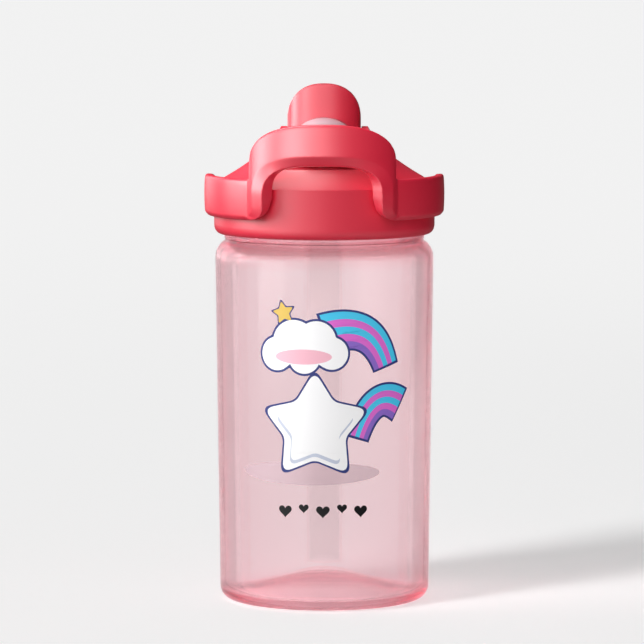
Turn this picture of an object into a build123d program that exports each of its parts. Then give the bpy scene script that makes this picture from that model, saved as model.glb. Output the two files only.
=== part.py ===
from build123d import *
from math import sin, cos, tan, radians, pi, sqrt
import os

os.makedirs("parts", exist_ok=True)

# ---------------------------------------------------------------- driving dimensions (mm)
# bottle body
BODY_R_TOP = 37.0        # outer radius where the shoulder starts
BODY_R_LOW = 35.55       # outer radius just above the base corner
SHOULDER_Z = 115.0
BASE_CORNER_Z = 4.3
FOOT_R_OUT = 31.7        # flat resting ring
FOOT_R_IN = 29.2
PUNT_H = 6.0             # underside rise of the base dome
WALL = 2.0
FLOOR_PEAK_Z = 8.5       # inside peak of the base dome
NECK_R = 32.6
NECK_R_IN = 30.2
NECK_Z0 = 121.6
RIM_Z = 138.2
# screw thread
PITCH = 4.5
THREAD_H = 1.4           # radial height of the ridge
THREAD_BASE = 2.1        # axial width at the root
THREAD_TIP = 1.0
THREAD_TURNS = 1.25
THREAD_Z = 127.0         # bottle ridge start (centre of the section)
THREAD_GAP = 0.4         # radial clearance
# cap
CAP_R = 37.3
CAP_Z0 = 124.2
CAP_IN_R = NECK_R + THREAD_H + THREAD_GAP
CREASE_Z = 140.9
ROOF_Z = 140.3           # flat under the roof that presses the gasket
# spout pivot
PIV_Z = 153.6
BARREL_R = 6.2
SPOUT_HW = 12.3          # half width of hood and barrel
CHEEK_IN = SPOUT_HW + 0.3
CHEEK_TOP_Z = 160.3
PIN_R = 3.0
PIN_END = 15.2
# straw
STRAW_R = 6.0
STRAW_WALL = 1.0
STRAW_Z0 = 12.2
STRAW_Z1 = 141.5
# carry handle
RING_R = 40.6
RING_IN = CAP_R + 0.05
RING_Z0 = 130.5
RING_Z1 = 144.3
BACK_Z1 = 141.3          # top of the band round the back
ARCH_HW = 24.5
ARCH_TOP = 162.7


def ellipse_pts(a, b, cy, n=12, sign=-1, x_scale=1.0):
    return [(a * cos(pi * i / n) * x_scale, cy + sign * b * sin(pi * i / n)) for i in range(n + 1)]


def super_pts(a, z0, top, p, n=24):
    out = []
    for i in range(n + 1):
        t = pi * i / n
        c, s = cos(t), sin(t)
        out.append((a * (abs(c) ** (2 / p)) * (1 if c >= 0 else -1), z0 + (top - z0) * abs(s) ** (2 / p)))
    return out


def plan_pts(a, y0, b, p, n=20):
    return [(x, 2 * y0 - y) for x, y in super_pts(a, y0, y0 + b, p, n)]


# ---------------------------------------------------------------- bottle
with BuildPart() as bottle:
    with BuildSketch(Plane.XZ):
        with BuildLine():
            l1 = Spline((0, PUNT_H), (12, 4.6), (22, 1.9), (FOOT_R_IN, 0), tangents=[(1, 0), (1, -0.25)])
            l2 = Line(l1 @ 1, (FOOT_R_OUT, 0))
            l3 = Spline(l2 @ 1, (34.5, 1.25), (BODY_R_LOW, BASE_CORNER_Z), tangents=[(1, 0), (0.013, 1)])
            l4 = Line(l3 @ 1, (BODY_R_TOP, SHOULDER_Z))
            l5 = Spline(l4 @ 1, (36.65, 118.2), (35.4, 120.4), (33.9, NECK_Z0), tangents=[(0.013, 1), (-1, 0.35)])
            l6 = Polyline(l5 @ 1, (33.6, 122.3), (33.9, 122.7), (33.9, 123.5), (NECK_R, 124.0),
                          (NECK_R, RIM_Z - 0.6))
            l7 = ThreePointArc(l6 @ 1, (NECK_R - 0.18, RIM_Z - 0.18), (NECK_R - 0.6, RIM_Z))
            l8 = Line(l7 @ 1, (NECK_R_IN + 0.4, RIM_Z))
            l9 = Line(l8 @ 1, (NECK_R_IN, RIM_Z - 0.4))
            l10 = Line(l9 @ 1, (NECK_R_IN, 123.0))
            l11 = Spline(l10 @ 1, (31.6, 120.5), (33.9, 118.4), (BODY_R_TOP - WALL, SHOULDER_Z - 0.5),
                         tangents=[(0.05, -1), (-0.013, -1)])
            l12 = Line(l11 @ 1, (BODY_R_LOW - WALL, 6.6))
            l13 = Spline(l12 @ 1, (32.6, 3.9), (29.8, 2.8), tangents=[(-0.013, -1), (-1, 0.02)])
            l14 = Spline(l13 @ 1, (22, 4.2), (12, 7.0), (0, FLOOR_PEAK_Z), tangents=[(-1, 0.1), (-1, 0)])
            Line(l14 @ 1, l1 @ 0)
        make_face()
    revolve(axis=Axis.Z)
    with BuildLine() as hx:
        Helix(pitch=PITCH, height=PITCH * THREAD_TURNS, radius=NECK_R, center=(0, 0, THREAD_Z))
    with BuildSketch(Plane(origin=hx.line @ 0, x_dir=(1, 0, 0), z_dir=hx.line % 0)):
        with BuildLine():
            Polyline((-0.35, -THREAD_BASE / 2 - 0.14), (THREAD_H, -THREAD_TIP / 2),
                     (THREAD_H, THREAD_TIP / 2), (-0.35, THREAD_BASE / 2 + 0.14), close=True)
        make_face()
    sweep(path=hx.line, is_frenet=True)
bottle.part.label = "bottle"
export_step(bottle.part, "parts/bottle.step")
print("bottle", bottle.part.volume, len(bottle.solids()), bottle.part.is_valid)

# ---------------------------------------------------------------- lid gasket
with BuildPart() as lid_gasket:
    with BuildSketch(Plane.XZ):
        with BuildLine():
            Polyline((30.5, RIM_Z + 0.05), (34.1, RIM_Z + 0.05), (34.1, ROOF_Z - 0.05), (30.5, ROOF_Z - 0.05), close=True)
        make_face()
    revolve(axis=Axis.Z)
    fillet(lid_gasket.edges(), 0.3)
lid_gasket.part.label = "lid_gasket"
export_step(lid_gasket.part, "parts/lid_gasket.step")

# ---------------------------------------------------------------- cap shell
SEAL_Z0 = 145.2
with BuildPart() as cap_shell:
    with BuildSketch(Plane.XZ):
        with BuildLine():
            c1 = Line((CAP_IN_R + 0.5, CAP_Z0), (35.0, CAP_Z0))
            c2 = Spline(c1 @ 1, (36.5, 124.9), (CAP_R, 127.4), tangents=[(1, 0), (0, 1)])
            c3 = Line(c2 @ 1, (CAP_R, CREASE_Z))
            c4 = Spline(c3 @ 1, (33.0, 143.5), (29.0, 145.95), (25.4, 148.4), (21.5, 151.0), (17.2, 153.2),
                        tangents=[(-0.86, 0.5), (-0.9, 0.35)])
            c5 = Polyline(c4 @ 1, (0, 153.2), (0, 143.2), (20.5, 143.2), (27.0, ROOF_Z), (CAP_IN_R, ROOF_Z),
                          (CAP_IN_R, CAP_Z0 + 0.5), c1 @ 0)
        make_face()
    revolve(axis=Axis.Z)
    # two cheeks that carry the spout
    with BuildPart(mode=Mode.PRIVATE) as cheeks:
        with BuildSketch(Plane.YZ):
            with BuildLine():
                k1 = ThreePointArc((-CHEEK_TOP_Z + PIV_Z, PIV_Z), (0, CHEEK_TOP_Z), (CHEEK_TOP_Z - PIV_Z, PIV_Z))
                k2 = Spline(k1 @ 1, (8.6, 150.2), (12.5, 148.0), tangents=[(0, -1), (1, -0.25)])
                k3 = Polyline(k2 @ 1, (12.5, 146.0), (-12.5, 146.0), (-12.5, 148.0))
                Spline(k3 @ 1, (-8.6, 150.2), k1 @ 0, tangents=[(1, 0.25), (0, 1)])
            make_face()
        extrude(amount=20, both=True)
        with BuildSketch(Plane.XZ):
            with BuildLine():
                Polyline((-17.0, 144), (-16.2, 151.0), (-15.3, 159.0), (-14.4, 160.6), (14.4, 160.6), (15.3, 159.0),
                         (16.2, 151.0), (17.0, 144), close=True)
            make_face()
        extrude(amount=20, both=True, mode=Mode.INTERSECT)
    add(cheeks.part)
    # slot between the cheeks, open to front, top and back
    with BuildSketch(Plane.XZ):
        with BuildLine():
            Polyline((-CHEEK_IN, 147.0), (CHEEK_IN, 147.0), (CHEEK_IN, 170), (-CHEEK_IN, 170), close=True)
        make_face()
    extrude(amount=30, both=True, mode=Mode.SUBTRACT)
    # blind pivot holes
    with Locations((0, 0, PIV_Z)):
        Cylinder(PIN_R + 0.05, 2 * (PIN_END + 0.05), rotation=(0, 90, 0), mode=Mode.SUBTRACT)
    # seat for the spout seal, drink port and nozzle for the straw
    with Locations((0, 0, SEAL_Z0 + 5)):
        Cylinder(7.0, 10, mode=Mode.SUBTRACT)
    with Locations((0, 0, (131 + SEAL_Z0) / 2)):
        Cylinder(STRAW_R - STRAW_WALL - 0.05, SEAL_Z0 - 131)
        Cylinder(3.6, SEAL_Z0 - 131 + 2, mode=Mode.SUBTRACT)
    # vent hole
    with Locations((0, 13.5, 146)):
        Cylinder(1.3, 12, mode=Mode.SUBTRACT)
    with BuildLine() as hc:
        Helix(pitch=PITCH, height=PITCH * THREAD_TURNS, radius=CAP_IN_R, center=(0, 0, THREAD_Z - 0.52 * PITCH + 0.9))
    with BuildSketch(Plane(origin=hc.line @ 0, x_dir=(1, 0, 0), z_dir=hc.line % 0)):
        with BuildLine():
            Polyline((0.35, -THREAD_BASE / 2 - 0.14), (-THREAD_H, -THREAD_TIP / 2),
                     (-THREAD_H, THREAD_TIP / 2), (0.35, THREAD_BASE / 2 + 0.14), close=True)
        make_face()
    sweep(path=hc.line, is_frenet=True)
cap_shell.part.label = "cap_shell"
export_step(cap_shell.part, "parts/cap_shell.step")
print("cap", cap_shell.part.volume, len(cap_shell.solids()), cap_shell.part.is_valid)

# ---------------------------------------------------------------- carry handle: band around the cap with a finger arch
STRAP_T = 4.4
LEAN = 0.30              # backward lean of the strap above the band, mm per mm
STRAP_Y = -26.822          # centre of the bow in plan
with BuildPart() as carry_handle:
    # strap: bowed in plan, leaning back towards its crown, trimmed to the arch outline
    with BuildPart(mode=Mode.PRIVATE) as strap:
        for z0, dz, cy, lean in ((RING_Z0 + 0.6, 150.0 - RING_Z0 - 0.6, STRAP_Y, 0.0), (150.0, 14.0, STRAP_Y, LEAN)):
            with BuildSketch(Plane.XY.offset(z0)):
                with Locations((0, cy)):
                    Ellipse(ARCH_HW, 14.4)
                    Ellipse(ARCH_HW - STRAP_T - 1.0, 14.4 - STRAP_T, mode=Mode.SUBTRACT)
                with Locations((0, cy + 4 + 20)):
                    Rectangle(80, 40, mode=Mode.SUBTRACT)
            extrude(amount=dz * sqrt(1 + lean * lean), dir=(0, lean, 1))
        with BuildSketch(Plane.XZ):
            with BuildLine():
                al = Spline(*super_pts(ARCH_HW, 150.0, ARCH_TOP, 2.55, 20), tangents=[(0, 1), (0, -1)])
                Polyline(al @ 1, (-ARCH_HW, RING_Z0 + 0.6), (ARCH_HW, RING_Z0 + 0.6), al @ 0)
            make_face()
        extrude(amount=60, mode=Mode.INTERSECT)
    add(strap.part)
    # band
    with BuildSketch(Plane.XZ):
        with BuildLine():
            h1 = Line((RING_IN, RING_Z0), (RING_R - 1.5, RING_Z0))
            h2 = ThreePointArc(h1 @ 1, (RING_R - 0.44, RING_Z0 + 0.44), (RING_R, RING_Z0 + 1.5))
            h3 = Line(h2 @ 1, (RING_R - 0.2, RING_Z1 - 1.6))
            h4 = ThreePointArc(h3 @ 1, (RING_R - 0.66, RING_Z1 - 0.45), (RING_R - 1.7, RING_Z1))
            Polyline(h4 @ 1, (RING_IN, RING_Z1), h1 @ 0)
        make_face()
    revolve(axis=Axis.Z)
    # keep the strap ends clear of the cap
    with BuildSketch(Plane.XZ):
        with BuildLine():
            Polyline((0, 120), (RING_IN, 120), (RING_IN, 141.1), (33.1, 143.8), (29.1, 146.3), (25.5, 148.8),
                     (21.6, 151.4), (17.2, 153.6), (0, 153.6), close=True)
        make_face()
    revolve(axis=Axis.Z, mode=Mode.SUBTRACT)
    # finger opening, bevelled towards the front
    with BuildSketch(Plane.XZ.offset(44.0)):
        with Locations((0, 124.0)):
            RectangleRounded(2 * 25.2, 2 * (154.4 - 124.0), 11.0)
    extrude(amount=-8.5, taper=35, mode=Mode.SUBTRACT)
    with BuildSketch(Plane.XZ):
        with Locations((0, 124.0)):
            RectangleRounded(2 * 19.4, 2 * (148.7 - 124.0), 8.0)
    extrude(amount=60, mode=Mode.SUBTRACT)
    # the band drops to the crease round the back
    with BuildSketch(Plane.YZ):
        with BuildLine():
            Polyline((1, 152), (1, RING_Z1), (17, BACK_Z1), (60, BACK_Z1), (60, 152), close=True)
        make_face()
    extrude(amount=60, both=True, mode=Mode.SUBTRACT)
carry_handle.part.label = "carry_handle"
export_step(carry_handle.part, "parts/carry_handle.step")
print("handle", carry_handle.part.is_valid, len(carry_handle.solids()), carry_handle.part.volume)

# ---------------------------------------------------------------- flip spout: pivot barrel, hood and drink channel
HOOD_TOP = 174.8
VALVE_Z = 156.9          # centre of the oval mouth
MOUTH_A = 9.9            # mouth half width
MOUTH_B = 6.9            # mouth half height
with BuildPart() as flip_spout:
    # hood body: convex front leaning back, cut to a rounded front outline
    with BuildPart(mode=Mode.PRIVATE) as hood:
        with BuildSketch(Plane.XY.offset(149.8)):
            with BuildLine():
                fl = Spline(*plan_pts(SPOUT_HW, -5.0, 8.2, 2.7), tangents=[(0, -1), (0, 1)])
                Line(fl @ 1, fl @ 0)
            make_face()
            with Locations((0, -2.6)):
                Rectangle(2 * SPOUT_HW, 6.0)
        extrude(amount=27.0, dir=(0, 0.16, 1))
        with BuildSketch(Plane.XZ.offset(-30)):
            with BuildLine():
                hl = Spline(*super_pts(SPOUT_HW, 162.6, HOOD_TOP, 2.3, 20), tangents=[(0, 1), (0, -1)])
                Polyline(hl @ 1, (-SPOUT_HW, 148), (SPOUT_HW, 148), hl @ 0)
            make_face()
        extrude(amount=60, mode=Mode.INTERSECT)
        with BuildSketch(Plane.YZ):
            with BuildLine():
                Polyline((-16, 150.3), (-2.0, 150.3), (5.0, 153.0), (4.2, 158.0), (-1.6, HOOD_TOP + 0.5), (-16, HOOD_TOP + 0.5), close=True)
            make_face()
        extrude(amount=20, both=True, mode=Mode.INTERSECT)
    add(hood.part)
    with Locations((0, 0, PIV_Z)):
        Cylinder(BARREL_R, 2 * SPOUT_HW, rotation=(0, 90, 0))
        Cylinder(PIN_R, 2 * PIN_END, rotation=(0, 90, 0))
    # hollow back of the hood
    with BuildSketch(Plane.XZ.offset(-12)):
        with Locations((0, 166.4)):
            RectangleRounded(2 * 8.6, 12.0, 4.0)
    extrude(amount=14.6, mode=Mode.SUBTRACT)
    # oval mouth that takes the bite valve, and the spigot inside it
    with BuildSketch(Plane.XZ.offset(20)):
        with Locations((0, VALVE_Z)):
            Ellipse(MOUTH_A, MOUTH_B)
    extrude(amount=-14.5, mode=Mode.SUBTRACT)
    with BuildSketch(Plane.XZ.offset(5)):
        with Locations((0, VALVE_Z)):
            Ellipse(6.0, 4.2)
    extrude(amount=8.0)
    # straight drink channel
    with Locations((0, -1.6, 155.3)):
        Cylinder(2.6, 24, rotation=(98, 0, 0), mode=Mode.SUBTRACT)
flip_spout.part.label = "flip_spout"
export_step(flip_spout.part, "parts/flip_spout.step")
print("spout", flip_spout.part.is_valid, len(flip_spout.solids()), flip_spout.part.volume)

# ---------------------------------------------------------------- bite valve: soft oval mouthpiece with a slit tip
with BuildPart() as bite_valve:
    with BuildSketch(Plane.XZ.offset(5.6)):
        with Locations((0, VALVE_Z)):
            Ellipse(MOUTH_A - 0.05, MOUTH_B - 0.05)
    extrude(amount=8.4)
    with BuildSketch(Plane.XZ.offset(14.0)):
        with Locations((0, VALVE_Z)):
            Ellipse(MOUTH_A - 0.05, MOUTH_B - 0.05)
    with BuildSketch(Plane.XZ.offset(19.5)):
        with Locations((0, VALVE_Z - 0.3)):
            Ellipse(MOUTH_A - 0.6, MOUTH_B - 0.7)
    with BuildSketch(Plane.XZ.offset(25.0)):
        with Locations((0, VALVE_Z - 0.5)):
            Ellipse(MOUTH_A - 2.9, MOUTH_B - 2.9)
    loft()
    # inside: fits over the spigot, hollow towards the tip
    with BuildSketch(Plane.XZ.offset(5.0)):
        with Locations((0, VALVE_Z)):
            Ellipse(6.05, 4.25)
    extrude(amount=8.2, mode=Mode.SUBTRACT)
    with BuildSketch(Plane.XZ.offset(13.0)):
        with Locations((0, VALVE_Z)):
            Ellipse(7.6, 4.9)
    with BuildSketch(Plane.XZ.offset(23.0)):
        with Locations((0, VALVE_Z - 0.5)):
            Ellipse(5.0, 2.4)
    loft(mode=Mode.SUBTRACT)
    with Locations((0, -25, VALVE_Z - 0.5)):
        Box(7.0, 6.0, 0.5, mode=Mode.SUBTRACT)
bite_valve.part.label = "bite_valve"
export_step(bite_valve.part, "parts/bite_valve.step")
print("valve", bite_valve.part.is_valid, len(bite_valve.solids()), bite_valve.part.volume)

# ---------------------------------------------------------------- spout seal: soft ring cupped to the barrel
with BuildPart() as spout_seal:
    with Locations((0, 0, SEAL_Z0 + 0.05)):
        Cylinder(6.95, 4.2, align=(Align.CENTER, Align.CENTER, Align.MIN))
        Cylinder(3.6, 12, mode=Mode.SUBTRACT)
    with Locations((0, 0, PIV_Z)):
        Cylinder(BARREL_R + 0.3, 30, rotation=(0, 90, 0), mode=Mode.SUBTRACT)
spout_seal.part.label = "spout_seal"
export_step(spout_seal.part, "parts/spout_seal.step")
print("seal", spout_seal.part.is_valid, len(spout_seal.solids()), spout_seal.part.volume)

# ---------------------------------------------------------------- straw
with BuildPart() as straw:
    with Locations((0, 0, STRAW_Z0)):
        Cylinder(STRAW_R, STRAW_Z1 - STRAW_Z0, align=(Align.CENTER, Align.CENTER, Align.MIN))
        Cylinder(STRAW_R - STRAW_WALL, STRAW_Z1 - STRAW_Z0, align=(Align.CENTER, Align.CENTER, Align.MIN), mode=Mode.SUBTRACT)
    chamfer(straw.edges().group_by(Axis.Z)[0], 0.25)
straw.part.label = "straw"
export_step(straw.part, "parts/straw.step")

# ---------------------------------------------------------------- vent valve: small umbrella plug under the roof
with BuildPart() as vent_valve:
    with BuildSketch(Plane.XZ.offset(-13.5)):
        with BuildLine():
            Polyline((0, 142.0), (2.6, 142.0), (4.4, 142.6), (4.4, 143.15), (1.25, 143.15), (1.25, 147.05), (2.0, 147.05),
                     (1.6, 148.6), (0, 149.0), close=True)
        make_face()
    revolve(axis=Axis((0, 13.5, 0), (0, 0, 1)))
vent_valve.part.label = "vent_valve"
export_step(vent_valve.part, "parts/vent_valve.step")
print("vent", vent_valve.part.is_valid, len(vent_valve.solids()), vent_valve.part.volume)
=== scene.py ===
"""Looks for a children's drinking bottle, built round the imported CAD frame.

The handle and the print are laid out in millimetres; the stage and the camera are in metres.
"""

import math

import bmesh
import bpy
import numpy as np
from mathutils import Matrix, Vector
from mathutils.geometry import tessellate_polygon


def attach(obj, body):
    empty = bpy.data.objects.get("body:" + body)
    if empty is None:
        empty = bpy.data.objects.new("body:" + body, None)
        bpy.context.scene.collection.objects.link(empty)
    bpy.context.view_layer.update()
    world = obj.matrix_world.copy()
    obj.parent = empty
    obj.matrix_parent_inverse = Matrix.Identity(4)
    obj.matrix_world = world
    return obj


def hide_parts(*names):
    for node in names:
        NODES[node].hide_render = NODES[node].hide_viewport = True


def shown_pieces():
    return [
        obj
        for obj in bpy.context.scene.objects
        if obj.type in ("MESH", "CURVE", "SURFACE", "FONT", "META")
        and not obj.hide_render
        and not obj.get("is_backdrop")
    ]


MM = 0.001
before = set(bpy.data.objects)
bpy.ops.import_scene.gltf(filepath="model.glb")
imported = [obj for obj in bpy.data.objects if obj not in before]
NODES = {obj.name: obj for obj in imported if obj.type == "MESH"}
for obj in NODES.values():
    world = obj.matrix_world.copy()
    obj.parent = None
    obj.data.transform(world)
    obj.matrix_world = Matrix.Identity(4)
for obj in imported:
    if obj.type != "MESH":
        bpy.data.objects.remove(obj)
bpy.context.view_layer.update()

# camera
CAM_AZ = 1.1              # degrees round the object
CAM_DIST = 1.480          # horizontal distance to the axis
CAM_HEIGHT = 0.236
CAM_AIM = (-0.0008, 0, 0.0938)
FOCAL_MM = 245.0


# ------------------------------------------------------------------ materials
def srgb(*c):
    return tuple((v / 255 / 12.92) if v / 255 <= 0.04045 else (((v / 255) + 0.055) / 1.055) ** 2.4 for v in c)


def new_material(name, **sockets):
    m = bpy.data.materials.new(name)
    m.use_nodes = True
    bsdf = m.node_tree.nodes["Principled BSDF"]
    for key, value in sockets.items():
        bsdf.inputs[key.replace("_", " ")].default_value = value
    return m, bsdf


def bump(m, bsdf, scale, strength, distance=0.0002, detail=3.0):
    nt = m.node_tree
    tex = nt.nodes.new("ShaderNodeTexNoise")
    tex.inputs["Scale"].default_value = scale
    tex.inputs["Detail"].default_value = detail
    co = nt.nodes.new("ShaderNodeTexCoord")
    nt.links.new(co.outputs["Object"], tex.inputs["Vector"])
    b = nt.nodes.new("ShaderNodeBump")
    b.inputs["Strength"].default_value = strength
    b.inputs["Distance"].default_value = distance
    nt.links.new(tex.outputs["Fac"], b.inputs["Height"])
    nt.links.new(b.outputs["Normal"], bsdf.inputs["Normal"])


coral, coral_shader = new_material("coral", Base_Color=(*srgb(230, 42, 68), 1), Roughness=0.35, IOR=1.58,
                                   Specular_IOR_Level=0.75)
bump(coral, coral_shader, 900, 0.03)

# a low index and some straight-through light keep trapped rays from turning the wall's edges black
clear, clear_shader = new_material("clear_pink", Base_Color=(*srgb(251, 239, 241), 1), Roughness=0.0, IOR=1.18,
                                   Transmission_Weight=1.0, Specular_IOR_Level=1.0, Alpha=0.6)
nt = clear.node_tree
vol = nt.nodes.new("ShaderNodeVolumeAbsorption")
vol.inputs["Color"].default_value = (0.88, 0.16, 0.28, 1)
vol.inputs["Density"].default_value = 52.0
nt.links.new(vol.outputs["Volume"], nt.nodes["Material Output"].inputs["Volume"])
# painted reflection: the base colour turns the lid's red over the shoulder and neck, by height, standing in for
# the red lid mirrored in the clear plastic
coords, height, painted_lid_reflection = (nt.nodes.new("ShaderNode" + kind) for kind in ("TexCoord", "SeparateXYZ", "ValToRGB"))
nt.links.new(coords.outputs["Object"], height.inputs[0])
nt.links.new(height.outputs["Z"], painted_lid_reflection.inputs["Fac"])
stops = painted_lid_reflection.color_ramp.elements
stops[0].position = 0.1162
stops[0].color = (*srgb(251, 239, 241), 1)
# the red stop is the painted reflection of the lid, the paler stop above it fades it out
for z, colour in ((0.1205, (238, 106, 128)), (0.123, (246, 205, 212))):
    stops.new(z).color = (*srgb(*colour), 1)
nt.links.new(painted_lid_reflection.outputs["Color"], clear_shader.inputs["Base Color"])

silicone = new_material("silicone", Base_Color=(*srgb(228, 208, 215), 1), Roughness=0.12, IOR=1.41,
                        Transmission_Weight=0.4)[0]
straw_mat = new_material("clear_straw", Base_Color=(*srgb(205, 196, 194), 1), Roughness=0.35, IOR=1.3,
                         Alpha=0.05)[0]

for name, mat in (("bottle", clear), ("cap_shell", coral), ("carry_handle", coral), ("flip_spout", coral),
                  ("bite_valve", silicone), ("spout_seal", silicone), ("lid_gasket", silicone),
                  ("vent_valve", silicone), ("straw", straw_mat)):
    for material_slot in NODES[name].material_slots:
        material_slot.material = mat

# ------------------------------------------------------------------ carry handle
CAP_PROFILE_Z = (120, 140.9, 143.5, 145.95, 148.4, 151.0, 153.2)
CAP_PROFILE_R = (37.3, 37.3, 33.0, 29.0, 25.4, 21.5, 17.2)
STRAP_Z = (130, 136, 141, 146, 152.1, 163)
STRAP_CENTRE_Y = (-27.6, -28.4, -28.7, -28.1, -26.8, -23.5)
STRAP_HALF_WIDTH = 25.05
STRAP_BOW = 13.8          # how far the loop stands out in front of its own ends
STRAP_THICK = 4.6
BAND_R = 40.6
BAND_TOP = 144.3
BAND_BOTTOM = 130.5
BAND_BACK_DROP = 3.0      # the top edge is this much lower round the back
BAND_BORE_R = 37.42
BAND_LOWER_EDGE = (39.35, 131.7)   # radius of the inner end and height of the outer end of the bottom bevel
LEG_X = 26.8              # where the loop's leg meets the band
COLUMN = 12               # points up the outer face


def super_arc(a, z0, top, p, t):
    """A point on a quarter of a superellipse."""
    return a * max(math.cos(t), 0.0) ** (2 / p), z0 + (top - z0) * max(math.sin(t), 0.0) ** (2 / p)


def strap_centre(z):
    return float(np.interp(z, STRAP_Z, STRAP_CENTRE_Y))


def band_radius(z):
    return BAND_R - 0.0065 * (z - 137.5) ** 2


def strap_y(x, z, depth=0.0):
    """Front face of the loop, or the face at some depth behind it; its plan is squarer towards the feet."""
    half = STRAP_HALF_WIDTH - 0.8 * depth
    q = 2.0 + 0.7 * (1 - smooth(138.0, 152.0, z))
    return strap_centre(z) - (STRAP_BOW - depth) * max(0.0, 1 - (abs(x) / half) ** q) ** (1 / q)


def smooth(e0, e1, v):
    t = min(max((v - e0) / (e1 - e0), 0.0), 1.0)
    return t * t * (3 - 2 * t)


def outer_y(x, z):
    """Front face of the loop and the band together, with a small fillet where they meet."""
    ys = strap_y(x, z)
    if z > 146.5:
        return ys
    yb = -math.sqrt(max(band_radius(min(z, BAND_TOP)) ** 2 - x * x, 0.0))
    k = 0.8
    d = max(k - abs(ys - yb), 0.0) / k
    both = min(ys, yb) - d * d * k * 0.25
    return both + (ys - both) * smooth(144.0, 146.5, z)


def off_cap(x, y, z, gap=0.1):
    """Pushes a point outwards until it clears the cap."""
    r = math.hypot(x, y)
    need = float(np.interp(z, CAP_PROFILE_Z, CAP_PROFILE_R)) + gap
    return (x, y, z) if r >= need else (x * need / r, y * need / r, z)


def handle_stations():
    """Cross-sections from the loop's top, down its leg and round the band.

    Each is its outer face, front lip, lower back corner and upper back corner.
    """
    out = []

    def add(u, lo, li, depth_li, back_ratio, lift):
        outer = [(u[0] + (lo[0] - u[0]) * v, u[1] + (lo[1] - u[1]) * v) for v in np.linspace(0, 1, COLUMN)]
        pts = [(x, outer_y(x, z), z) for x, z in outer]
        li3 = (li[0], outer_y(li[0], li[1]) + depth_li, li[1])
        xb = li[0] * back_ratio
        lb = off_cap(xb, max(strap_y(xb, li[1], STRAP_THICK), li3[1] + 0.4), li[1] - lift)
        xu = u[0] * 0.86
        ub = off_cap(xu, strap_y(xu, u[1], STRAP_THICK), u[1] - 0.3)
        out.append((pts, li3, lb, ub))
    for t in np.linspace(math.pi / 2, 0, 44):
        w = math.cos(t)
        add(super_arc(24.5, 150.0, 162.7, 2.55, t), super_arc(23.3, 139.0, 152.1, 3.1, t),
            super_arc(19.9, 138.0, 149.1, 3.0, t), 2.3 * (1 - w) + 0.35 * w, 1 - 0.17 * w, 0.5 * (1 - w))
    for u in np.linspace(0, 1, 9)[1:]:
        add((24.5, 150 - 5.0 * u), (23.3, 139 - 4.3 * u), (19.9, 138 - 3.3 * u), 0.35, 0.83 + 0.05 * u, 0.0)
    for f in np.linspace(0, math.pi / 2, 15)[1:]:
        c, s = math.cos(f), math.sin(f)
        add((24.5 + 2.0 * (1 - c), BAND_TOP + 0.7 * (1 - s)), (LEG_X - 3.5 * c, 134.7 - 3.0 * s),
            (27.0 - 7.1 * c ** 0.8, 134.7 - 4.2 * s ** 0.8), 0.35 + 0.9 * s, 0.88 + 0.12 * s, 0.0)
    lip_r, face_bottom = BAND_LOWER_EDGE
    for th in np.linspace(math.asin(LEG_X / BAND_R), math.pi, 70)[1:]:
        sn, cs = math.sin(th), -math.cos(th)
        pts = []
        z_top = BAND_TOP - BAND_BACK_DROP * smooth(0.0, 18.0, BAND_R * cs)
        for v in np.linspace(0, 1, COLUMN):
            z = z_top - (z_top - face_bottom) * v
            pts.append((band_radius(z) * sn, band_radius(z) * cs, z))
        out.append((pts, (lip_r * sn, lip_r * cs, BAND_BOTTOM),
                    (BAND_BORE_R * sn, BAND_BORE_R * cs, BAND_BOTTOM),
                    (BAND_BORE_R * sn, BAND_BORE_R * cs, z_top - 0.2)))
    return out


def round_loop(points, radii, seg=4):
    """Rounds the marked corners of a closed 3-D loop. Loops with the same marks get equal numbers of points."""
    n, out = len(points), []
    for i, (p, r) in enumerate(zip(points, radii)):
        if not r:
            out.append(p)
            continue
        p = Vector(p)
        a, b = Vector(points[i - 1]) - p, Vector(points[(i + 1) % n]) - p
        pa = p + a.normalized() * min(r, a.length * 0.48)
        pb = p + b.normalized() * min(r, b.length * 0.48)
        for k in range(seg + 1):
            t = k / seg
            out.append(tuple(pa * (1 - t) ** 2 + p * (2 * t * (1 - t)) + pb * t ** 2))
    return out


def mesh_object(name, verts, faces, material):
    me = bpy.data.meshes.new(name)
    me.from_pydata([tuple(c * MM for c in v) for v in verts], [], faces)
    me.validate()
    me.polygons.foreach_set("use_smooth", [True] * len(me.polygons))
    me.materials.append(material)
    o = bpy.data.objects.new(name, me)
    bpy.context.collection.objects.link(o)
    return o


def handle():
    loops = []
    for pts, lip, lower_back, upper_back in handle_stations():
        key = [pts[0]] + pts[2:] + [lip, lower_back, upper_back]
        radii = [1.2] + [0] * len(pts[2:-1]) + [0.45, 0.5, 0.6, 0.8]
        loops.append(round_loop(key, radii))
    mirrored = [[(-x, y, z) for x, y, z in lp] for lp in loops]
    ring = loops + mirrored[-2:0:-1]
    m = len(ring[0])
    verts = [v for lp in ring for v in lp]
    faces = []
    for i in range(len(ring)):
        j = (i + 1) % len(ring)
        for k in range(m):
            nxt = (k + 1) % m
            faces.append((i * m + k, j * m + k, j * m + nxt, i * m + nxt))
    o = mesh_object("handle_loop", verts, faces, coral)
    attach(o, "lid")
    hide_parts("carry_handle")


handle()


# ------------------------------------------------------------------ printed decoration
BODY_LOW = (4.3, 35.55)      # height and radius at the foot and at the top of the tapered wall
BODY_HIGH = (115.0, 37.0)
FILM_GAP = 0.03              # film above the wall, mm
LAYER_STEP = 0.012           # from one layer of ink to the next, mm
BACK_LAYER = -1.2            # the pale ink under each outline lies below the others


def body_radius(z):
    return BODY_LOW[1] + (z - BODY_LOW[0]) * (BODY_HIGH[1] - BODY_LOW[1]) / (BODY_HIGH[0] - BODY_LOW[0])


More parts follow.
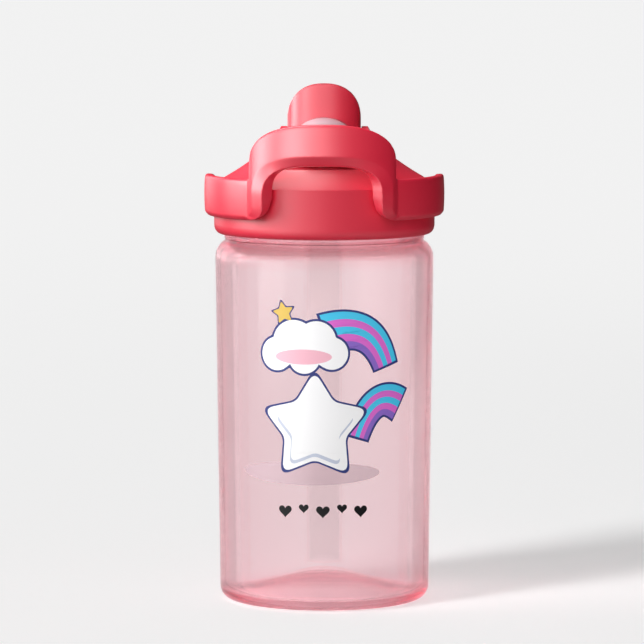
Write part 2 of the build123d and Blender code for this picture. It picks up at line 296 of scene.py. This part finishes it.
def print_shape(name, outline, layer, material):
    """A flat outline in (arc length, height), wrapped on the bottle as a thin film just off its surface."""
    bm = bmesh.new()
    vs = [bm.verts.new((u, v, 0)) for u, v in outline]
    for tri in tessellate_polygon([[Vector((u, v, 0)) for u, v in outline]]):
        bm.faces.new([vs[i] for i in tri])
    for _ in range(6):
        long_edges = [e for e in bm.edges if e.calc_length() > 1.6]
        if not long_edges:
            break
        bmesh.ops.subdivide_edges(bm, edges=long_edges, cuts=1)
        bmesh.ops.triangulate(bm, faces=bm.faces[:])
    for v in bm.verts:
        u, z = v.co.x, v.co.y
        r = body_radius(z) + FILM_GAP + LAYER_STEP * layer
        a = u / body_radius(z)
        v.co = (r * math.sin(a) * MM, -r * math.cos(a) * MM, z * MM)
    bmesh.ops.recalc_face_normals(bm, faces=bm.faces[:])
    me = bpy.data.meshes.new(name)
    bm.to_mesh(me)
    bm.free()
    me.materials.append(material)
    me.polygons.foreach_set("use_smooth", [True] * len(me.polygons))
    return me


def star(cu, cv, r, inner_ratio, turn=0.0):
    """Five points with rounded tips."""
    tips = []
    for i in range(10):
        a = math.radians(turn + 90 + 36 * i)
        q = r if i % 2 == 0 else r * inner_ratio
        tips.append(Vector((cu + q * math.cos(a), cv + q * math.sin(a), 0)))
    out = []
    for i, p in enumerate(tips):
        k = 0.32 if i % 2 == 0 else 0.16
        a, b = p.lerp(tips[i - 1], k), p.lerp(tips[(i + 1) % 10], k)
        for t in np.linspace(0, 1, 7):
            q = a * (1 - t) ** 2 + p * (2 * t * (1 - t)) + b * t ** 2
            out.append((q.x, q.y))
    return out


def blob(circles, grow=0.0, n=160):
    """The outline of overlapping circles, seen from their middle."""
    cu = sum(c[0] for c in circles) / len(circles)
    cv = sum(c[1] for c in circles) / len(circles)
    out = []
    for i in range(n):
        a = 2 * math.pi * i / n
        dx, dy = math.cos(a), math.sin(a)
        best = 0.5
        for x, y, r in circles:
            ox, oy = x - cu, y - cv
            along = ox * dx + oy * dy
            off = (r + grow) ** 2 - (ox * ox + oy * oy - along * along)
            if off > 0:
                best = max(best, along + math.sqrt(off))
        out.append((cu + best * dx, cv + best * dy))
    return out


def oval(cu, cv, a, b, n=48):
    return [(cu + a * math.cos(2 * math.pi * i / n), cv + b * math.sin(2 * math.pi * i / n)) for i in range(n)]


def ribbon(path, lo, hi, trim=0.0, n=40):
    """A tapering band along a quadratic curve, between two fractions of its width, short by trim at each end."""
    p0, p1, p2, w0, w1 = path
    one, two = [], []
    for t in np.linspace(trim, 1 - trim, n):
        x = p0[0] * (1 - t) ** 2 + 2 * p1[0] * t * (1 - t) + p2[0] * t * t
        y = p0[1] * (1 - t) ** 2 + 2 * p1[1] * t * (1 - t) + p2[1] * t * t
        dx = 2 * ((p1[0] - p0[0]) * (1 - t) + (p2[0] - p1[0]) * t)
        dy = 2 * ((p1[1] - p0[1]) * (1 - t) + (p2[1] - p1[1]) * t)
        slope = math.hypot(dx, dy)
        w = w0 + (w1 - w0) * t
        one.append((x - dy / slope * w * lo, y + dx / slope * w * lo))
        two.append((x - dy / slope * w * hi, y + dx / slope * w * hi))
    return one + two[::-1]


def heart(cu, cv, w, n=28):
    out = []
    for i in range(n):
        t = 2 * math.pi * i / n
        x = 16 * math.sin(t) ** 3
        y = 13 * math.cos(t) - 5 * math.cos(2 * t) - 2 * math.cos(3 * t) - math.cos(4 * t)
        out.append((cu + x * w / 32, cv + y * w / 32))
    return out


def ink(name, *c, alpha=1.0):
    return new_material("ink_" + name, Base_Color=(*srgb(*c), 1), Roughness=0.42, Alpha=alpha)[0]


INK_NAVY = ink("navy", 44, 56, 126)
INK_WHITE = ink("white", 252, 251, 252)
INK_BLUSH = ink("blush", 246, 184, 200)
INK_SKY = ink("sky", 66, 202, 242)
INK_PINK = ink("pink", 224, 104, 208)
INK_VIOLET = ink("violet", 142, 104, 204)
INK_GOLD = ink("gold", 222, 184, 66)
INK_BLACK = ink("black", 18, 18, 20)
INK_BACK = ink("back", 250, 244, 246)
INK_PALE = ink("pale", 203, 172, 182, alpha=0.55)
INK_GREY = ink("grey", 198, 204, 222)


def print_shapes():
    """Every patch of ink: its name, outline, layer and material."""
    # each circle is (across, up, radius); each path is three curve points and its two end widths
    cloud = [(-15.5, 86.5, 5.6), (-9.5, 90.5, 7.4), (-2.0, 91.0, 6.6), (3.2, 86.8, 5.4), (-6.0, 85.2, 5.2)]
    bow = ((0.5, 93.0), (17.0, 99.0), (22.5, 81.5), 13.5, 9.0)
    tail = ((11.5, 58.0), (17.0, 76.0), (28.5, 68.5), 7.5, 11.5)
    outline_width = 1.5
    end_trim = 0.022
    shapes = [("shade", oval(-4.5, 46.6, 24.5, 3.9), 0, INK_PALE)]
    for tag, path in (("bow", bow), ("tail", tail)):
        wide = (*path[:3], path[3] + outline_width, path[4] + outline_width)
        shapes.append((tag + "_edge", ribbon(wide, -0.5, 0.5), 1, INK_NAVY))
        for k, m in enumerate((INK_VIOLET, INK_PINK, INK_SKY, INK_PINK, INK_SKY)):
            stripe = ribbon(path, -0.5 + 0.2 * k, -0.3 + 0.2 * k, end_trim)
            shapes.append((tag + "_%d" % k, stripe, 2, m))
    shapes += [("cloud_edge", blob(cloud, 0.75), 3, INK_NAVY),
               ("cloud", blob(cloud), 4, INK_WHITE),
               ("cloud_blush", oval(-6.4, 85.6, 9.6, 2.5), 5, INK_BLUSH),
               ("big_star_edge", star(-2.5, 62.0, 20.3, 0.56), 3, INK_NAVY),
               ("big_star", star(-2.5, 62.0, 19.0, 0.565), 4, INK_WHITE),
               ("big_star_low", star(-2.5, 60.9, 14.6, 0.57), 5, INK_GREY),
               ("big_star_mid", star(-2.3, 61.9, 14.4, 0.57), 6, INK_WHITE),
               ("gold_edge", star(-13.2, 100.2, 4.9, 0.5, 12), 3, INK_NAVY),
               ("gold", star(-13.2, 100.2, 4.0, 0.5, 12), 4, INK_GOLD)]
    for k in range(5):
        lift, width = (0.6, 3.4) if k % 2 else (-0.4, 4.6)
        shapes.append(("heart_%d" % k, heart(-12.6 + 6.4 * k, 34.4 + lift, width), 1, INK_BLACK))
    # a pale underside, so that the print isn't dark when it is seen through the bottle from behind
    shapes += [(tag + "_backing", outline, BACK_LAYER, INK_BACK) for tag, outline, _, _ in list(shapes)
               if tag.endswith("_edge") or tag.startswith("heart")]
    return shapes


def print_all():
    parts = []
    for tag, outline, layer, material in print_shapes():
        o = bpy.data.objects.new("print_" + tag, print_shape("print_" + tag, outline, layer, material))
        bpy.context.collection.objects.link(o)
        parts.append(o)
    bpy.ops.object.select_all(action="DESELECT")
    for o in parts:
        o.select_set(True)
    bpy.context.view_layer.objects.active = parts[0]
    bpy.ops.object.join()
    film = bpy.context.view_layer.objects.active
    film.name = "print_film"
    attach(film, "bottle")
    return film


print_film = print_all()

# ------------------------------------------------------------------ stage: floor, lights, camera
PAPER = 0.861             # radiance of the pale background
PAPER_GLOW = 0.44         # emission that lifts the lit floor to the same tone
FLOOR_TO_MATT = 0.10      # what the floor gives matt surfaces
ROOM_TO_GLOSS, ROOM_TO_MATT = 0.04, 0.22
LID_AIM = (0, 0, 0.13)


def hide_from(o, *kinds):
    """Hides a light or card from some kinds of ray: camera, diffuse, glossy, transmission or shadow."""
    for kind in kinds:
        setattr(o, "visible_" + kind, False)


def rough_ray(tree, path):
    """1 for rays that left a matt or satin surface, 0 for rays from the camera or through clear plastic."""
    flip, both, pick_max = (tree.nodes.new("ShaderNodeMath") for _ in range(3))
    flip.operation, both.operation, pick_max.operation = "SUBTRACT", "MULTIPLY", "MAXIMUM"
    flip.inputs[0].default_value = 1.0
    tree.links.new(path.outputs["Is Singular Ray"], flip.inputs[1])
    tree.links.new(flip.outputs[0], both.inputs[0])
    tree.links.new(path.outputs["Is Glossy Ray"], both.inputs[1])
    tree.links.new(both.outputs[0], pick_max.inputs[0])
    tree.links.new(path.outputs["Is Diffuse Ray"], pick_max.inputs[1])
    return pick_max.outputs[0]


def floor_sheet():
    half, drop = 40, -0.0003
    me = bpy.data.meshes.new("floor")
    me.from_pydata([(-half, -half, drop), (half, -half, drop), (half, half, drop), (-half, half, drop)], [],
                   [(0, 1, 2, 3)])
    o = bpy.data.objects.new("floor", me)
    bpy.context.collection.objects.link(o)
    m, b = new_material("paper", Base_Color=(0.8, 0.8, 0.8, 1), Roughness=1.0, Specular_IOR_Level=0.0)
    b.inputs["Emission Color"].default_value = (1, 1, 1, 1)
    b.inputs["Emission Strength"].default_value = PAPER_GLOW
    t = m.node_tree
    path = t.nodes.new("ShaderNodeLightPath")
    mixer = t.nodes.new("ShaderNodeMixShader")
    dull = t.nodes.new("ShaderNodeEmission")
    dull.inputs["Strength"].default_value = FLOOR_TO_MATT
    t.links.new(rough_ray(t, path), mixer.inputs[0])
    t.links.new(b.outputs[0], mixer.inputs[1])
    t.links.new(dull.outputs[0], mixer.inputs[2])
    t.links.new(mixer.outputs[0], t.nodes["Material Output"].inputs["Surface"])
    me.materials.append(m)
    o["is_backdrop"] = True
    return o


sweep = floor_sheet()
LIT_OBJECT = bpy.data.collections.new("lit_object")
LIT_FLOOR = bpy.data.collections.new("lit_floor")
LIT_FLOOR.objects.link(sweep)
PRINT_ONLY = bpy.data.collections.new("print_only")


def panel(name, azimuth, dist, z, w, h, power, aim=(0, 0, 0.09), on_floor=False):
    """A rectangular soft light. Azimuth is measured from the camera side, positive to the right."""
    a = math.radians(azimuth)
    d = bpy.data.lights.new(name, "AREA")
    d.shape = "RECTANGLE"
    d.size, d.size_y = w, h
    d.energy = power
    o = bpy.data.objects.new(name, d)
    o.location = (dist * math.sin(a), -dist * math.cos(a), z)
    o.rotation_euler = (Vector(aim) - o.location).to_track_quat("-Z", "Y").to_euler()
    bpy.context.collection.objects.link(o)
    o.light_linking.receiver_collection = LIT_FLOOR if on_floor else LIT_OBJECT
    return o


def dark_card(name, x, y0, y1, h):
    """An upright dark sheet that shades one side; views from behind it look through it."""
    me = bpy.data.meshes.new(name)
    me.from_pydata([(x, y0, 0), (x, y1, 0), (x, y1, h), (x, y0, h)], [], [(0, 1, 2, 3)])
    o = bpy.data.objects.new(name, me)
    bpy.context.collection.objects.link(o)
    me.materials.append(new_material(name, Base_Color=(0.02, 0.02, 0.02, 1), Roughness=1.0,
                                     Specular_IOR_Level=0.0)[0])
    hide_from(o, "camera", "transmission")
    o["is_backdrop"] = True


def glow_card(name, az0, az1, dist, h, strength, fade):
    """An upright curved panel that shows in the gloss of the bottle; it fades out towards the floor."""
    verts, faces, n = [], [], 12
    for i in range(n + 1):
        a = math.radians(az0 + (az1 - az0) * i / n)
        x, y = dist * math.sin(a), -dist * math.cos(a)
        verts += [(x, y, 0.0), (x, y, h)]
    for i in range(n):
        faces.append((2 * i, 2 * i + 1, 2 * i + 3, 2 * i + 2))
    me = bpy.data.meshes.new(name)
    me.from_pydata(verts, [], faces)
    o = bpy.data.objects.new(name, me)
    bpy.context.collection.objects.link(o)
    m = bpy.data.materials.new(name)
    m.use_nodes = True
    t = m.node_tree
    t.nodes.clear()
    out, emit, clear_bit, mixer, co, sep, ramp, path, fade_rough, scale = (
        t.nodes.new("ShaderNode" + kind) for kind in
        ("OutputMaterial", "Emission", "BsdfTransparent", "MixShader", "TexCoord", "SeparateXYZ", "MapRange",
         "LightPath", "MapRange", "Math"))
    emit.inputs["Strength"].default_value = strength
    ramp.inputs["From Min"].default_value, ramp.inputs["From Max"].default_value = fade
    t.links.new(co.outputs["Object"], sep.inputs[0])
    t.links.new(sep.outputs["Z"], ramp.inputs["Value"])
    scale.operation = "MULTIPLY"
    fade_rough.inputs["To Min"].default_value, fade_rough.inputs["To Max"].default_value = 1.0, 0.02
    t.links.new(rough_ray(t, path), fade_rough.inputs["Value"])
    t.links.new(ramp.outputs["Result"], scale.inputs[0])
    t.links.new(fade_rough.outputs["Result"], scale.inputs[1])
    t.links.new(scale.outputs[0], mixer.inputs[0])
    t.links.new(clear_bit.outputs[0], mixer.inputs[1])
    t.links.new(emit.outputs[0], mixer.inputs[2])
    t.links.new(mixer.outputs[0], out.inputs["Surface"])
    me.materials.append(m)
    hide_from(o, "camera", "shadow", "diffuse")
    o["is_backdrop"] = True


# soft lights on the object
panel("key_left", -70, 1.05, 0.52, 0.50, 0.66, 6.4, aim=LID_AIM)
panel("side_left", -90, 0.62, 0.28, 0.36, 0.34, 1.9, aim=LID_AIM)
panel("rim_left", -138, 0.70, 0.30, 0.40, 0.45, 1.0, aim=LID_AIM)
panel("top_left", -105, 0.32, 1.10, 0.6, 0.6, 8.5)
hide_from(panel("front_soft", -10, 1.20, 0.85, 0.80, 0.80, 9.0, aim=LID_AIM), "glossy")
# highlights on the lid and the loop
for name, azimuth, width, power in (("gloss_left", -30, 0.46, 6.0), ("gloss_front", -5, 0.30, 1.6)):
    hide_from(panel(name, azimuth, 1.08, 0.72, width, 0.50, power, aim=LID_AIM), "diffuse", "transmission")
# light thrown back up by the paper
for name, azimuth, dist, power in (("bounce_left", -10, 0.32, 0.40), ("bounce_right", 62, 0.34, 0.42)):
    low_light = panel(name, azimuth, dist, 0.005, 0.45, 0.35, power)
    low_light.rotation_euler = (math.pi, 0, 0)
    hide_from(low_light, "camera", "glossy", "transmission")
# inside the bottle, upwards
inner = panel("inner_glow", 0, 0.0, 0.085, 0.045, 0.045, 0.02)
inner.rotation_euler = (math.pi, 0, 0)
hide_from(inner, "camera", "glossy", "transmission")
# an even light on the front of the print
print_front = panel("print_front", 38, 1.0, 0.30, 0.5, 0.5, 1.5, aim=(0, 0, 0.07))
print_front.light_linking.receiver_collection = PRINT_ONLY
hide_from(print_front, "glossy", "transmission")
# the inside of the print, which the clear wall would otherwise keep in shade
print_light = panel("print_back", 0, 0.006, 0.070, 0.036, 0.090, 0.030)
print_light.rotation_euler = (-math.pi / 2, 0, 0)
print_light.light_linking.receiver_collection = PRINT_ONLY
print_light.light_linking.blocker_collection = PRINT_ONLY
hide_from(print_light, "camera", "glossy", "transmission")
# upright bands in the gloss of the bottle
glow_card("band_left", -71, -39, 0.50, 0.30, 14.0, (0.0, 0.07))
glow_card("band_middle", -38, -21.5, 0.50, 0.30, 5.2, (0.0, 0.07))
# the shadow on the paper
SUN_AZ = math.radians(47)
SUN_RISE = 0.62
sun = bpy.data.lights.new("shadow_sun", "SUN")
sun.energy = 2.0
sun.angle = math.radians(14)
sun_o = bpy.data.objects.new("shadow_sun", sun)
sun_from = Vector((-math.sin(SUN_AZ), -math.cos(SUN_AZ), SUN_RISE))
sun_o.rotation_euler = (-sun_from).to_track_quat("-Z", "Y").to_euler()
bpy.context.collection.objects.link(sun_o)
sun_o.light_linking.receiver_collection = LIT_FLOOR
sun_o.light_linking.blocker_collection = LIT_OBJECT
dark_card("flag_right", 0.55, -0.45, 0.9, 1.2)

# the room: paper-white to the camera and the clear plastic, dim to the rest
world = bpy.data.worlds.new("world")
bpy.context.scene.world = world
world.use_nodes = True
wn = world.node_tree
dim = wn.nodes["Background"]
dim.inputs["Color"].default_value = (1, 1, 1, 1)
seen = wn.nodes.new("ShaderNodeBackground")
seen.inputs["Color"].default_value = (1, 1, 1, 1)
seen.inputs["Strength"].default_value = PAPER
path = wn.nodes.new("ShaderNodeLightPath")
pick = wn.nodes.new("ShaderNodeMixShader")
wn.links.new(rough_ray(wn, path), pick.inputs[0])
room = wn.nodes.new("ShaderNodeMapRange")
room.inputs["To Min"].default_value, room.inputs["To Max"].default_value = ROOM_TO_GLOSS, ROOM_TO_MATT
wn.links.new(path.outputs["Is Diffuse Ray"], room.inputs["Value"])
wn.links.new(room.outputs["Result"], dim.inputs["Strength"])
wn.links.new(seen.outputs[0], pick.inputs[1])
wn.links.new(dim.outputs[0], pick.inputs[2])
wn.links.new(pick.outputs[0], wn.nodes["World Output"].inputs["Surface"])

cam_data = bpy.data.cameras.new("camera")
cam_data.lens = FOCAL_MM
cam_data.sensor_width = 36.0
cam_data.clip_start = 0.05
cam = bpy.data.objects.new("camera", cam_data)
az = math.radians(CAM_AZ)
cam.location = (CAM_DIST * math.sin(az), -CAM_DIST * math.cos(az), CAM_HEIGHT)
cam.rotation_euler = (Vector(CAM_AIM) - cam.location).to_track_quat("-Z", "Y").to_euler()
bpy.context.collection.objects.link(cam)
bpy.context.scene.camera = cam
bpy.context.scene.view_settings.view_transform = "Standard"

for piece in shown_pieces():
    LIT_OBJECT.objects.link(piece)
PRINT_ONLY.objects.link(print_film)
